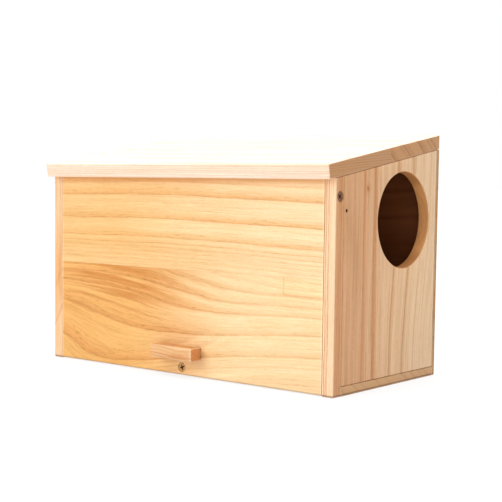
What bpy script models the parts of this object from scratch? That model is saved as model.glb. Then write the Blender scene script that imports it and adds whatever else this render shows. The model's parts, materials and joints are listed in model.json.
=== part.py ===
"""Long wooden nest box with a round entrance in one end and a hinged front door.

World frame: the box stands on Z = 0 with its outline centred on the origin.
X runs along the box and the entrance is in the +X end.
The door faces -Y, the thin back panel faces +Y, and +Z is up.
All sizes are in metres.
"""

import math

import bmesh
import bpy
from mathutils import Matrix, Vector

# ---------------------------------------------------------------- main sizes
LENGTH = 0.300
DEPTH = 0.145
FRONT_HEIGHT = 0.160
ROOF_SLOPE = math.radians(9.6)

END_THICKNESS = 0.010
DOOR_THICKNESS = 0.0095
FLOOR_THICKNESS = 0.011
FLOOR_TONGUE = 0.007
BACK_THICKNESS = 0.0035
ROOF_THICKNESS = 0.011
ROOF_OVERHANG = 0.008
ROOF_JOINT_Y = 0.001

TOUCH_GAP = 0.0003
EDGE_EASE = 0.0005
THIN_EDGE_EASE = 0.0003
CUT_OVERRUN = 0.0010

# -------------------------------------------------------------- entrance hole
ENTRANCE_RADIUS = 0.0375
ENTRANCE_Y = 0.021
ENTRANCE_Z = 0.128
ENTRANCE_EASE = 0.0007
ENTRANCE_SIDES = 96

# ----------------------------------------------------------------------- door
DOOR_SIDE_GAP = 0.0006
DOOR_BOTTOM_Z = 0.0007
DOOR_TOP_Z = 0.1590
DOOR_JOINT_Z = 0.0853
PIVOT_Y = -0.0670
PIVOT_Z = 0.1464

HANDLE_WIDTH = 0.044
HANDLE_DEPTH = 0.012
HANDLE_HEIGHT = 0.0105
HANDLE_CENTRE_X = 0.0005
HANDLE_BOTTOM_Z = 0.0144
HANDLE_EASE = 0.0007
HANDLE_SCREW_OFFSET = 0.013

LOCK_SCREW_X = 0.0019
LOCK_SCREW_Z = 0.0068

# ------------------------------------------------------------------ fasteners
SHANK_RADIUS = 0.0015
SCREW_HEAD_RADIUS = 0.0035
SCREW_RIM_HEIGHT = 0.0004
SCREW_RIM_BEVEL = 0.0001
SCREW_TAPER_LENGTH = 0.0050
SCREW_POINT_LENGTH = 0.0020
SCREW_POINT_SHARE = 0.55
SCREW_SIDES = 20
PIVOT_SCREW_LENGTH = 0.025
LOCK_SCREW_LENGTH = 0.020
HANDLE_SCREW_LENGTH = 0.016
SCREW_RECESS_DEPTH = 0.0004
SCREW_HOLE_SIDES = 32
HANDLE_HOLE_SIDES = 24
SCREW_HOLE_END_ROOM = 0.0006
SCREW_HOLE_FLARE = 0.0003
RUNNING_CLEARANCE = 0.0003
LOCK_HOLE_RADIUS = 0.0021
LOCK_HOLE_SIDES = 16

RECESS_ARM = 0.0019
RECESS_HALF_WIDTH = 0.00045
RECESS_DEPTH = 0.0013
RECESS_FOOT_SHARE = 0.45

PIN_RADIUS = 0.0007
PIN_HEAD_RADIUS = 0.0011
PIN_HEAD_HEIGHT = 0.0010
PIN_POINT_LENGTH = 0.0020
PIN_HEAD_CONE_SHARE = 0.7
PIN_SIDES = 10
PIN_HOLE_SIDES = 12
PIN_HOLE_CLEARANCE = 0.00036
ROOF_PIN_LENGTH = 0.026
ROOF_PIN_SINK = 0.0006
FLOOR_PIN_LENGTH = 0.024
FLOOR_PIN_SINK = 0.0004
ROOF_PIN_YS = (-0.050, -0.016, 0.063)
FLOOR_PIN_YS = (-0.040, 0.040)

NAIL_RADIUS = 0.0008
NAIL_HEAD_RADIUS = 0.0018
NAIL_HEAD_HEIGHT = 0.0008
BACK_NAIL_LENGTH = 0.018
BACK_NAIL_SINK = 0.0002
BACK_NAIL_ZS = (0.025, 0.095, 0.160)
FLOOR_NAIL_XS = (-0.075, 0.075)

SPARE_HOLE_RADIUS = 0.0014
SPARE_HOLE_DEPTH = 0.006
SPARE_HOLE_SIDES = 16
SPARE_HOLE_Y = -0.0587
SPARE_HOLE_Z = 0.1362

# ------------------------------------------------------------- derived planes
FRONT_Y = -DEPTH / 2
BACK_Y = DEPTH / 2
DOOR_INNER_Y = FRONT_Y + DOOR_THICKNESS
BACK_INNER_Y = BACK_Y - BACK_THICKNESS
END_INNER_X = LENGTH / 2 - END_THICKNESS
END_MIDDLE_X = LENGTH / 2 - END_THICKNESS / 2
FLOOR_FRONT_Y = DOOR_INNER_Y + TOUCH_GAP
FLOOR_BACK_Y = BACK_INNER_Y - TOUCH_GAP


def roof_underside(y):
    """Height of the roof's sloping underside at depth y."""
    return FRONT_HEIGHT + (y - FRONT_Y) * math.tan(ROOF_SLOPE)


def clear_scene():
    for item in list(bpy.data.objects):
        bpy.data.objects.remove(item, do_unlink=True)


# ------------------------------------------------------------------ materials
def make_material(name, colour, roughness, metallic=0.0):
    material = bpy.data.materials.new(name)
    material.use_nodes = True
    shader = material.node_tree.nodes["Principled BSDF"]
    shader.inputs["Base Color"].default_value = (*colour, 1.0)
    shader.inputs["Roughness"].default_value = roughness
    shader.inputs["Metallic"].default_value = metallic
    return material


def make_materials():
    return {
        "door_upper": make_material("door_upper_wood", (0.83, 0.55, 0.28), 0.55),
        "door_lower": make_material("door_lower_wood", (0.76, 0.45, 0.20), 0.55),
        "end": make_material("end_wood", (0.60, 0.40, 0.24), 0.60),
        "roof": make_material("roof_wood", (0.88, 0.74, 0.58), 0.60),
        "floor": make_material("floor_wood", (0.50, 0.31, 0.16), 0.65),
        "back": make_material("back_ply", (0.52, 0.33, 0.17), 0.65),
        "handle": make_material("handle_wood", (0.72, 0.44, 0.26), 0.55),
        "screw": make_material("screw_steel", (0.42, 0.34, 0.24), 0.35, 1.0),
        "nail": make_material("nail_steel", (0.55, 0.54, 0.52), 0.40, 1.0),
    }


# --------------------------------------------------------------- mesh helpers
def new_object(name, mesh, material):
    obj = bpy.data.objects.new(name, mesh)
    bpy.context.scene.collection.objects.link(obj)
    if material is not None:
        mesh.materials.append(material)
    return obj


def mesh_from_bmesh(name, bm):
    bmesh.ops.recalc_face_normals(bm, faces=bm.faces)
    mesh = bpy.data.meshes.new(name)
    bm.to_mesh(mesh)
    bm.free()
    return mesh


def ease_edges(bm, width):
    """Break every edge of a prism with one narrow chamfer."""
    bmesh.ops.bevel(
        bm,
        geom=list(bm.edges),
        offset=width,
        segments=1,
        profile=0.5,
        affect="EDGES",
    )


def prism_along_x(name, outline, x_start, x_end, material, ease=EDGE_EASE):
    """A board whose YZ outline is carried straight along X."""
    bm = bmesh.new()
    ring = [bm.verts.new((x_start, y, z)) for y, z in outline]
    base = bm.faces.new(ring)
    result = bmesh.ops.extrude_face_region(bm, geom=[base])
    moved = [item for item in result["geom"] if isinstance(item, bmesh.types.BMVert)]
    bmesh.ops.translate(bm, verts=moved, vec=(x_end - x_start, 0.0, 0.0))
    if ease > 0.0:
        ease_edges(bm, ease)
    return new_object(name, mesh_from_bmesh(name, bm), material)


def block(name, low, high, material, ease=EDGE_EASE):
    """A plain board between two opposite corners."""
    outline = [(low[1], low[2]), (high[1], low[2]), (high[1], high[2]), (low[1], high[2])]
    return prism_along_x(name, outline, low[0], high[0], material, ease)


def turned_mesh(name, profile, segments):
    """Turn a (radius, height) profile about Z; it starts and ends on the axis."""
    bm = bmesh.new()
    rings = []
    for radius, height in profile:
        if radius == 0.0:
            rings.append([bm.verts.new((0.0, 0.0, height))])
            continue
        ring = []
        for step in range(segments):
            angle = 2.0 * math.pi * step / segments
            ring.append(bm.verts.new((radius * math.cos(angle), radius * math.sin(angle), height)))
        rings.append(ring)
    for first, second in zip(rings, rings[1:]):
        for step in range(segments):
            following = (step + 1) % segments
            corners = [first[step % len(first)], first[following % len(first)]]
            corners += [second[following % len(second)], second[step % len(second)]]
            unique = list(dict.fromkeys(corners))
            bm.faces.new(unique)
    mesh = mesh_from_bmesh(name, bm)
    mesh.shade_smooth()
    mesh.set_sharp_from_angle(angle=math.radians(35.0))
    return mesh


def aim(obj, position, direction):
    """Place an object made along +Z so that its +Z points in the given direction."""
    turn = Vector((0.0, 0.0, 1.0)).rotation_difference(Vector(direction))
    obj.rotation_mode = "QUATERNION"
    obj.rotation_quaternion = turn
    obj.location = position


def make_cutter(name, profile, segments, position, direction):
    """A hidden turned solid that is subtracted from the boards."""
    cutter = new_object(name, turned_mesh(name, profile, segments), None)
    aim(cutter, position, direction)
    cutter.hide_render = True
    cutter.display_type = "WIRE"
    return cutter


def cut(target, cutter):
    modifier = target.modifiers.new("cut_" + cutter.name, "BOOLEAN")
    modifier.operation = "DIFFERENCE"
    modifier.solver = "EXACT"
    modifier.object = cutter


def straight_profile(radius, low, high):
    return [(0.0, low), (radius, low), (radius, high), (0.0, high)]


# ----------------------------------------------------------- fastener shapes
def cross_recess_mesh(name, arm, half_width, depth):
    """A tapered plus-shaped plug, its mouth at Z = 0 and its point below."""
    bm = bmesh.new()
    outline = [
        (arm, -half_width), (arm, half_width), (half_width, half_width),
        (half_width, arm), (-half_width, arm), (-half_width, half_width),
        (-arm, half_width), (-arm, -half_width), (-half_width, -half_width),
        (-half_width, -arm), (half_width, -arm), (half_width, -half_width),
    ]
    share = RECESS_FOOT_SHARE
    top = [bm.verts.new((x, y, CUT_OVERRUN / 2)) for x, y in outline]
    bottom = [bm.verts.new((x * share, y * share, -depth)) for x, y in outline]
    bm.faces.new(top)
    bm.faces.new(list(reversed(bottom)))
    for step in range(len(outline)):
        following = (step + 1) % len(outline)
        bm.faces.new([top[step], bottom[step], bottom[following], top[following]])
    return mesh_from_bmesh(name, bm)


def screw_profile(length):
    """Countersunk wood screw, head up, the flat of its head at Z = 0."""
    neck = SCREW_HEAD_RADIUS - SHANK_RADIUS
    return [
        (0.0, -length),
        (SHANK_RADIUS * SCREW_POINT_SHARE, -length + SCREW_POINT_LENGTH),
        (SHANK_RADIUS, -length + SCREW_TAPER_LENGTH),
        (SHANK_RADIUS, -SCREW_RIM_HEIGHT - neck),
        (SCREW_HEAD_RADIUS, -SCREW_RIM_HEIGHT),
        (SCREW_HEAD_RADIUS - SCREW_RIM_BEVEL, 0.0),
        (0.0, 0.0),
    ]


def screw_hole_profile(length, bore, clearance):
    """Room for a countersunk screw, open above its head."""
    head = SCREW_HEAD_RADIUS + clearance
    cone = head - bore
    bottom = -length - SCREW_HOLE_END_ROOM
    mouth = 2.0 * CUT_OVERRUN
    return [
        (0.0, bottom),
        (bore, bottom),
        (bore, -SCREW_RIM_HEIGHT - cone),
        (head, -SCREW_RIM_HEIGHT),
        (head + SCREW_HOLE_FLARE, mouth),
        (0.0, mouth),
    ]


def make_screw(name, length, position, direction, material, recess_turn=0.0):
    screw = new_object(name, turned_mesh(name, screw_profile(length), SCREW_SIDES), material)
    aim(screw, position, direction)
    plug = cross_recess_mesh(name + "_recess", RECESS_ARM, RECESS_HALF_WIDTH, RECESS_DEPTH)
    recess = new_object(name + "_recess", plug, None)
    aim(recess, position, direction)
    spin = Matrix.Rotation(recess_turn, 4, "Z").to_quaternion()
    recess.rotation_quaternion = recess.rotation_quaternion @ spin
    recess.hide_render = True
    recess.display_type = "WIRE"
    cut(screw, recess)
    return screw


def make_pin(name, radius, head_radius, head_height, length, position, direction, material):
    profile = [
        (0.0, -length),
        (radius, -length + PIN_POINT_LENGTH),
        (radius, -head_height),
        (head_radius, -head_height * PIN_HEAD_CONE_SHARE),
        (head_radius, 0.0),
        (0.0, 0.0),
    ]
    pin = new_object(name, turned_mesh(name, profile, PIN_SIDES), material)
    aim(pin, position, direction)
    return pin


def pin_hole_profile(radius, head_radius, head_height, length):
    clear = PIN_HOLE_CLEARANCE
    mouth = 3.0 * CUT_OVERRUN
    return [
        (0.0, -length - TOUCH_GAP),
        (radius + clear, -length - TOUCH_GAP),
        (radius + clear, -head_height - TOUCH_GAP),
        (head_radius + clear, -head_height - TOUCH_GAP),
        (head_radius + clear, mouth),
        (0.0, mouth),
    ]


def drive_pin(name, size, position, direction, material, boards):
    """Make one pin or nail and its hole through each of the given boards."""
    radius, head_radius, head_height, length = size
    make_pin(name, radius, head_radius, head_height, length, position, direction, material)
    profile = pin_hole_profile(radius, head_radius, head_height, length)
    cutter = make_cutter(name + "_hole", profile, PIN_HOLE_SIDES, position, direction)
    for board in boards:
        cut(board, cutter)


# --------------------------------------------------------------------- boards
def make_floor(materials):
    """Floor board; its rebated ends leave a thin tongue under the end panels."""
    shoulder = END_INNER_X - TOUCH_GAP
    half = LENGTH / 2
    outline = [
        (-half, 0.0), (half, 0.0), (half, FLOOR_TONGUE), (shoulder, FLOOR_TONGUE),
        (shoulder, FLOOR_THICKNESS), (-shoulder, FLOOR_THICKNESS),
        (-shoulder, FLOOR_TONGUE), (-half, FLOOR_TONGUE),
    ]
    bm = bmesh.new()
    ring = [bm.verts.new((x, FLOOR_FRONT_Y, z)) for x, z in outline]
    base = bm.faces.new(ring)
    result = bmesh.ops.extrude_face_region(bm, geom=[base])
    moved = [item for item in result["geom"] if isinstance(item, bmesh.types.BMVert)]
    bmesh.ops.translate(bm, verts=moved, vec=(0.0, FLOOR_BACK_Y - FLOOR_FRONT_Y, 0.0))
    return new_object("floor_board", mesh_from_bmesh("floor_board", bm), materials["floor"])


def end_outline():
    """End panel outline: a front leg beside the door and a notch over the floor."""
    seat = FLOOR_TONGUE + TOUCH_GAP
    back = BACK_INNER_Y - TOUCH_GAP
    return [
        (FRONT_Y, 0.0),
        (DOOR_INNER_Y, 0.0),
        (DOOR_INNER_Y, seat),
        (back, seat),
        (back, roof_underside(back) - TOUCH_GAP),
        (FRONT_Y, roof_underside(FRONT_Y) - TOUCH_GAP),
    ]


def make_ends(materials):
    outline = end_outline()
    right = prism_along_x("right_end_panel", outline, END_INNER_X, LENGTH / 2, materials["end"])
    left = prism_along_x("left_end_panel", outline, -LENGTH / 2, -END_INNER_X, materials["end"])
    return right, left


def cut_entrance(right_end):
    """Round entrance through the right end panel, its rims slightly eased."""
    half = END_THICKNESS / 2
    rim = ENTRANCE_RADIUS + ENTRANCE_EASE + CUT_OVERRUN
    profile = [
        (0.0, -half - CUT_OVERRUN),
        (rim, -half - CUT_OVERRUN),
        (ENTRANCE_RADIUS, -half + ENTRANCE_EASE),
        (ENTRANCE_RADIUS, half - ENTRANCE_EASE),
        (rim, half + CUT_OVERRUN),
        (0.0, half + CUT_OVERRUN),
    ]
    centre = (END_MIDDLE_X, ENTRANCE_Y, ENTRANCE_Z)
    cutter = make_cutter("entrance_cutter", profile, ENTRANCE_SIDES, centre, (1.0, 0.0, 0.0))
    cut(right_end, cutter)


def cut_spare_hole(right_end):
    """Small blind drilled hole below and behind the pivot screw."""
    profile = straight_profile(SPARE_HOLE_RADIUS, -SPARE_HOLE_DEPTH, 2.0 * CUT_OVERRUN)
    position = (LENGTH / 2, SPARE_HOLE_Y, SPARE_HOLE_Z)
    direction = (1.0, 0.0, 0.0)
    cut(right_end, make_cutter("spare_hole_cutter", profile, SPARE_HOLE_SIDES, position, direction))


def make_back(materials):
    """Thin back panel, its top edge cut to the roof's slope."""
    outline = [
        (BACK_INNER_Y, 0.0),
        (BACK_Y, 0.0),
        (BACK_Y, roof_underside(BACK_Y) - TOUCH_GAP),
        (BACK_INNER_Y, roof_underside(BACK_INNER_Y) - TOUCH_GAP),
    ]
    half = LENGTH / 2
    return prism_along_x("back_panel", outline, -half, half, materials["back"], THIN_EDGE_EASE)


def roof_point(run, height):
    """A YZ point at a run along the slope from the front plane, height above the underside."""
    along = Vector((math.cos(ROOF_SLOPE), math.sin(ROOF_SLOPE)))
    normal = Vector((-math.sin(ROOF_SLOPE), math.cos(ROOF_SLOPE)))
    point = Vector((FRONT_Y, FRONT_HEIGHT)) + along * run + normal * height
    return (point.x, point.y)


def make_roof(materials):
    """Two edge-glued boards; square front edge, plumb back edge."""
    half = LENGTH / 2
    front_run = -ROOF_OVERHANG / math.cos(ROOF_SLOPE)
    joint_run = (ROOF_JOINT_Y - FRONT_Y) / math.cos(ROOF_SLOPE)
    gap = TOUCH_GAP / 2
    front_outline = [
        roof_point(front_run, 0.0),
        roof_point(joint_run - gap, 0.0),
        roof_point(joint_run - gap, ROOF_THICKNESS),
        roof_point(front_run, ROOF_THICKNESS),
    ]
    top_at_back = roof_underside(BACK_Y) + ROOF_THICKNESS / math.cos(ROOF_SLOPE)
    rear_outline = [
        roof_point(joint_run + gap, 0.0),
        (BACK_Y, roof_underside(BACK_Y)),
        (BACK_Y, top_at_back),
        roof_point(joint_run + gap, ROOF_THICKNESS),
    ]
    front = prism_along_x("roof_front_board", front_outline, -half, half, materials["roof"])
    rear = prism_along_x("roof_rear_board", rear_outline, -half, half, materials["roof"])
    return front, rear


def make_door(materials):
    """Two edge-glued boards that swing together between the end panels."""
    side = END_INNER_X - DOOR_SIDE_GAP
    gap = TOUCH_GAP / 2
    upper_low = (-side, FRONT_Y, DOOR_JOINT_Z + gap)
    upper_high = (side, DOOR_INNER_Y, DOOR_TOP_Z)
    lower_low = (-side, FRONT_Y, DOOR_BOTTOM_Z)
    lower_high = (side, DOOR_INNER_Y, DOOR_JOINT_Z - gap)
    upper = block("door_upper_board", upper_low, upper_high, materials["door_upper"], THIN_EDGE_EASE)
    lower = block("door_lower_board", lower_low, lower_high, materials["door_lower"], THIN_EDGE_EASE)
    return upper, lower


def make_handle(materials):
    face = FRONT_Y - TOUCH_GAP
    low = (HANDLE_CENTRE_X - HANDLE_WIDTH / 2, face - HANDLE_DEPTH, HANDLE_BOTTOM_Z)
    high = (HANDLE_CENTRE_X + HANDLE_WIDTH / 2, face, HANDLE_BOTTOM_Z + HANDLE_HEIGHT)
    return block("door_handle", low, high, materials["handle"], HANDLE_EASE)


# ------------------------------------------------------------------ fastening
def add_pivot_screws(materials, ends, door_upper):
    """One screw through each end panel into the end of the upper door board."""
    right_end, left_end = ends
    head_x = LENGTH / 2 - SCREW_RECESS_DEPTH
    bore = SHANK_RADIUS + RUNNING_CLEARANCE
    hole = screw_hole_profile(PIVOT_SCREW_LENGTH, bore, RUNNING_CLEARANCE)
    for side, end, turn in ((1.0, right_end, 0.5), (-1.0, left_end, 0.2)):
        label = "right" if side > 0.0 else "left"
        position = (side * head_x, PIVOT_Y, PIVOT_Z)
        direction = (side, 0.0, 0.0)
        name = label + "_pivot_screw"
        make_screw(name, PIVOT_SCREW_LENGTH, position, direction, materials["screw"], turn)
        cutter = make_cutter(name + "_hole", hole, SCREW_HOLE_SIDES, position, direction)
        cut(end, cutter)
        cut(door_upper, cutter)


def add_lock_screw(materials, door_lower, floor):
    """Screw through the door's foot; the floor's hole clears its swinging tip."""
    position = (LOCK_SCREW_X, FRONT_Y + SCREW_RECESS_DEPTH, LOCK_SCREW_Z)
    direction = (0.0, -1.0, 0.0)
    make_screw("door_lock_screw", LOCK_SCREW_LENGTH, position, direction, materials["screw"], 0.35)
    bore = SHANK_RADIUS + RUNNING_CLEARANCE
    hole = screw_hole_profile(LOCK_SCREW_LENGTH, bore, RUNNING_CLEARANCE)
    cut(door_lower, make_cutter("lock_screw_hole", hole, SCREW_HOLE_SIDES, position, direction))
    seat = straight_profile(LOCK_HOLE_RADIUS, -LOCK_SCREW_LENGTH - CUT_OVERRUN, 0.0)
    cut(floor, make_cutter("lock_seat_hole", seat, LOCK_HOLE_SIDES, position, direction))


def add_handle_screws(materials, handle, door_lower):
    """Two screws from inside the door into the handle block."""
    bore = SHANK_RADIUS + RUNNING_CLEARANCE
    hole = screw_hole_profile(HANDLE_SCREW_LENGTH, bore, RUNNING_CLEARANCE)
    middle_z = HANDLE_BOTTOM_Z + HANDLE_HEIGHT / 2
    head_y = DOOR_INNER_Y - SCREW_RECESS_DEPTH
    direction = (0.0, 1.0, 0.0)
    for label, side in (("left", -1.0), ("right", 1.0)):
        position = (HANDLE_CENTRE_X + side * HANDLE_SCREW_OFFSET, head_y, middle_z)
        name = "handle_screw_" + label
        make_screw(name, HANDLE_SCREW_LENGTH, position, direction, materials["screw"], 0.3 * side)
        cutter = make_cutter(name + "_hole", hole, HANDLE_HOLE_SIDES, position, direction)
        cut(door_lower, cutter)
        cut(handle, cutter)


def add_roof_pins(materials, roof, ends):
    front, rear = roof
    right_end, left_end = ends
    size = (PIN_RADIUS, PIN_HEAD_RADIUS, PIN_HEAD_HEIGHT, ROOF_PIN_LENGTH)
    for side, end, label in ((1.0, right_end, "right"), (-1.0, left_end, "left")):
        for number, y in enumerate(ROOF_PIN_YS, start=1):
            board = front if y < ROOF_JOINT_Y else rear
            top = roof_underside(y) + ROOF_THICKNESS / math.cos(ROOF_SLOPE)
            position = (side * END_MIDDLE_X, y, top - ROOF_PIN_SINK)
            name = "roof_pin_" + label + "_" + str(number)
            drive_pin(name, size, position, (0.0, 0.0, 1.0), materials["nail"], (board, end))


def add_floor_pins(materials, floor, ends):
    right_end, left_end = ends
    size = (PIN_RADIUS, PIN_HEAD_RADIUS, PIN_HEAD_HEIGHT, FLOOR_PIN_LENGTH)
    for side, end, label in ((1.0, right_end, "right"), (-1.0, left_end, "left")):
        for number, y in enumerate(FLOOR_PIN_YS, start=1):
            position = (side * END_MIDDLE_X, y, FLOOR_PIN_SINK)
            name = "floor_pin_" + label + "_" + str(number)
            drive_pin(name, size, position, (0.0, 0.0, -1.0), materials["nail"], (floor, end))


def add_back_nails(materials, back, ends, floor):
    right_end, left_end = ends
    size = (NAIL_RADIUS, NAIL_HEAD_RADIUS, NAIL_HEAD_HEIGHT, BACK_NAIL_LENGTH)
    head_y = BACK_Y - BACK_NAIL_SINK
    direction = (0.0, 1.0, 0.0)
    for side, end, label in ((1.0, right_end, "right"), (-1.0, left_end, "left")):
        for number, z in enumerate(BACK_NAIL_ZS, start=1):
            position = (side * END_MIDDLE_X, head_y, z)
            name = "back_nail_" + label + "_" + str(number)
            drive_pin(name, size, position, direction, materials["nail"], (back, end))
    for number, x in enumerate(FLOOR_NAIL_XS, start=1):
        position = (x, head_y, FLOOR_THICKNESS / 2)
        name = "back_nail_floor_" + str(number)
        drive_pin(name, size, position, direction, materials["nail"], (back, floor))


def build():
    clear_scene()
    materials = make_materials()
    floor = make_floor(materials)
    ends = make_ends(materials)
    back = make_back(materials)
    roof = make_roof(materials)
    door_upper, door_lower = make_door(materials)
    handle = make_handle(materials)
    cut_entrance(ends[0])
    cut_spare_hole(ends[0])
    add_pivot_screws(materials, ends, door_upper)
    add_lock_screw(materials, door_lower, floor)
    add_handle_screws(materials, handle, door_lower)
    add_roof_pins(materials, roof, ends)
    add_floor_pins(materials, floor, ends)
    add_back_nails(materials, back, ends, floor)


build()
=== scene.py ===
"""The looks of a wooden nest box: bare boards, a hinged front door, and a few screws and pins.

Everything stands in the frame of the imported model. Meshes are in metres, and places in the
wood's materials are in millimetres.
"""

import json
import math

import bmesh
import bpy
from mathutils import Matrix, Vector

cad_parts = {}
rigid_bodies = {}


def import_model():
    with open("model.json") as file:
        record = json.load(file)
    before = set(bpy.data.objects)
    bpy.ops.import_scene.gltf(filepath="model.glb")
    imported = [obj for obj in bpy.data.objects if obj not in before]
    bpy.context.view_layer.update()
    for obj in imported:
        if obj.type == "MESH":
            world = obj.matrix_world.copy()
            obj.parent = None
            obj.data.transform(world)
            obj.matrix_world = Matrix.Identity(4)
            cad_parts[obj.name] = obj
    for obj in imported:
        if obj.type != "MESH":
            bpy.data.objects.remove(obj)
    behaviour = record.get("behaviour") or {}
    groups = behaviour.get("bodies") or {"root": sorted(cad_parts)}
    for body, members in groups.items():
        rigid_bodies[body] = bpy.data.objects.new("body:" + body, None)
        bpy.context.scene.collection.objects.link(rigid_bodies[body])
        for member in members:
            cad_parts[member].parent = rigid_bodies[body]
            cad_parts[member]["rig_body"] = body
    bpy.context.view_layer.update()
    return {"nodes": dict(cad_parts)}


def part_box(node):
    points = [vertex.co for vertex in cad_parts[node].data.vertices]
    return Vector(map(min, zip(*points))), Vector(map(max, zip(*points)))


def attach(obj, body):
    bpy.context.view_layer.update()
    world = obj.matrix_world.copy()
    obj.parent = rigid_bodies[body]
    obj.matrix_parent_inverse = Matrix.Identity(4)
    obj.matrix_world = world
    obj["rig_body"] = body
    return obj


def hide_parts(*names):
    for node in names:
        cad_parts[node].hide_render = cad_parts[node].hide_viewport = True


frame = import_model()

MM = 0.001
TAU = 2 * math.pi
AXIS_X, AXIS_Y, AXIS_Z = 0, 1, 2
WHITE = (1, 1, 1, 1)
BODY_OF = {name: node["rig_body"] for name, node in frame["nodes"].items()}

# Camera, metres and degrees
CAMERA_PLACE = (0.6290, -0.7622, 0.1562)
CAMERA_YAW = -38.90
CAMERA_PITCH = -4.61
CAMERA_ROLL = 0.68
CAMERA_LENS = 83.67
CAMERA_SENSOR = 36.0
CAMERA_SHIFT_UP = 0.0498

# Light: what a white card facing it would show, where 1 is pure white
SKY_LIGHT = 0.24
BACKDROP_LIGHT = 2.0
BACKDROP_TOWARDS = (-0.60, 0.79, 0.12)
BACKDROP_EDGE = 0.45
OVERHEAD_LIGHT = 1.02
OVERHEAD_SPREAD = 56.0
OVERHEAD_TOWARDS = (0, 0, -1)
FRONT_LIGHT = 0.48
FRONT_SPREAD = 40.0
FRONT_TOWARDS = (0.42, 0.78, -0.42)
FILL_LIGHT = 0.20
FILL_SPREAD = 50.0
FILL_TOWARDS = (-0.45, 0.85, -0.25)

# Studio floor
FLOOR_HALF_SIZE = 30.0
FLOOR_DROP = 0.0001
FLOOR_GLOW = 0.80
FLOOR_ALBEDO = 0.18
FLOOR_ROUGHNESS = 0.9
FLOOR_CELLS = 4

# Boards, metres
ROOF_SLOPE = math.radians(9.6)
EDGE_ROUND = 0.00018
DOOR_EXTRA = 0.0004
WELD_DISTANCE = 0.000002
CAD_EASE_REACH = 0.0009
BOARD_END_REACH = 0.001
FLAT_ANGLE = math.radians(0.5)
ARRIS_ANGLE = math.radians(30)
SMOOTH_ANGLE = math.radians(35)

# Screws: metres, or shares of the head's radius
SCREW_SIDES = 48
HEAD_ROWS = 18
HEAD_FLAT_SHARE = 0.95
HEAD_DROP = 0.00001
NECK_ROWS = ((0.97, 0.00002), (1.0, 0.00012), (1.0, 0.00035), (0.72, 0.0013), (0.46, 0.0024))
CORE_START = 0.0031
THREAD_START = 0.0034
SHANK_CORE = 0.00105
THREAD_CREST = 0.00148
THREAD_PITCH = 0.0013
THREAD_ROWS = 8
THREAD_SHARPNESS = 5
TIP_LENGTH = 0.0035
TIP_SHARE = 0.08
TIP_ROOM = 0.0002
RECESS_ARM_WIDTH = 0.13
RECESS_ARM_LENGTH = 0.56
RECESS_DEPTH = 0.42
RECESS_SLOPE = 0.25
RECESS_RIM = 1.25
RECESS_WALL = 0.35
# Faces deeper in the cross recess than this share get the painted shade material
RECESS_DARK_DEPTH = 0.1

# Where each screw's cross stands, in radians
LOCK_SCREW_TURN = 0.35
RIGHT_PIVOT_TURN = 0.9
LEFT_PIVOT_TURN = 0.2
LEFT_HANDLE_TURN = 0.6
RIGHT_HANDLE_TURN = 1.1

# Surfaces
BUMP_STRENGTH = 0.8
WOOD_BUMP = 0.00008
METAL_BUMP = 0.00002


def srgb(red, green, blue):
    """A colour given as 0-255 screen values, as the linear colour that shaders take."""
    def linear(value):
        value = value / 255
        return value / 12.92 if value <= 0.04045 else ((value + 0.055) / 1.055) ** 2.4

    return (linear(red), linear(green), linear(blue), 1.0)


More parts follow.
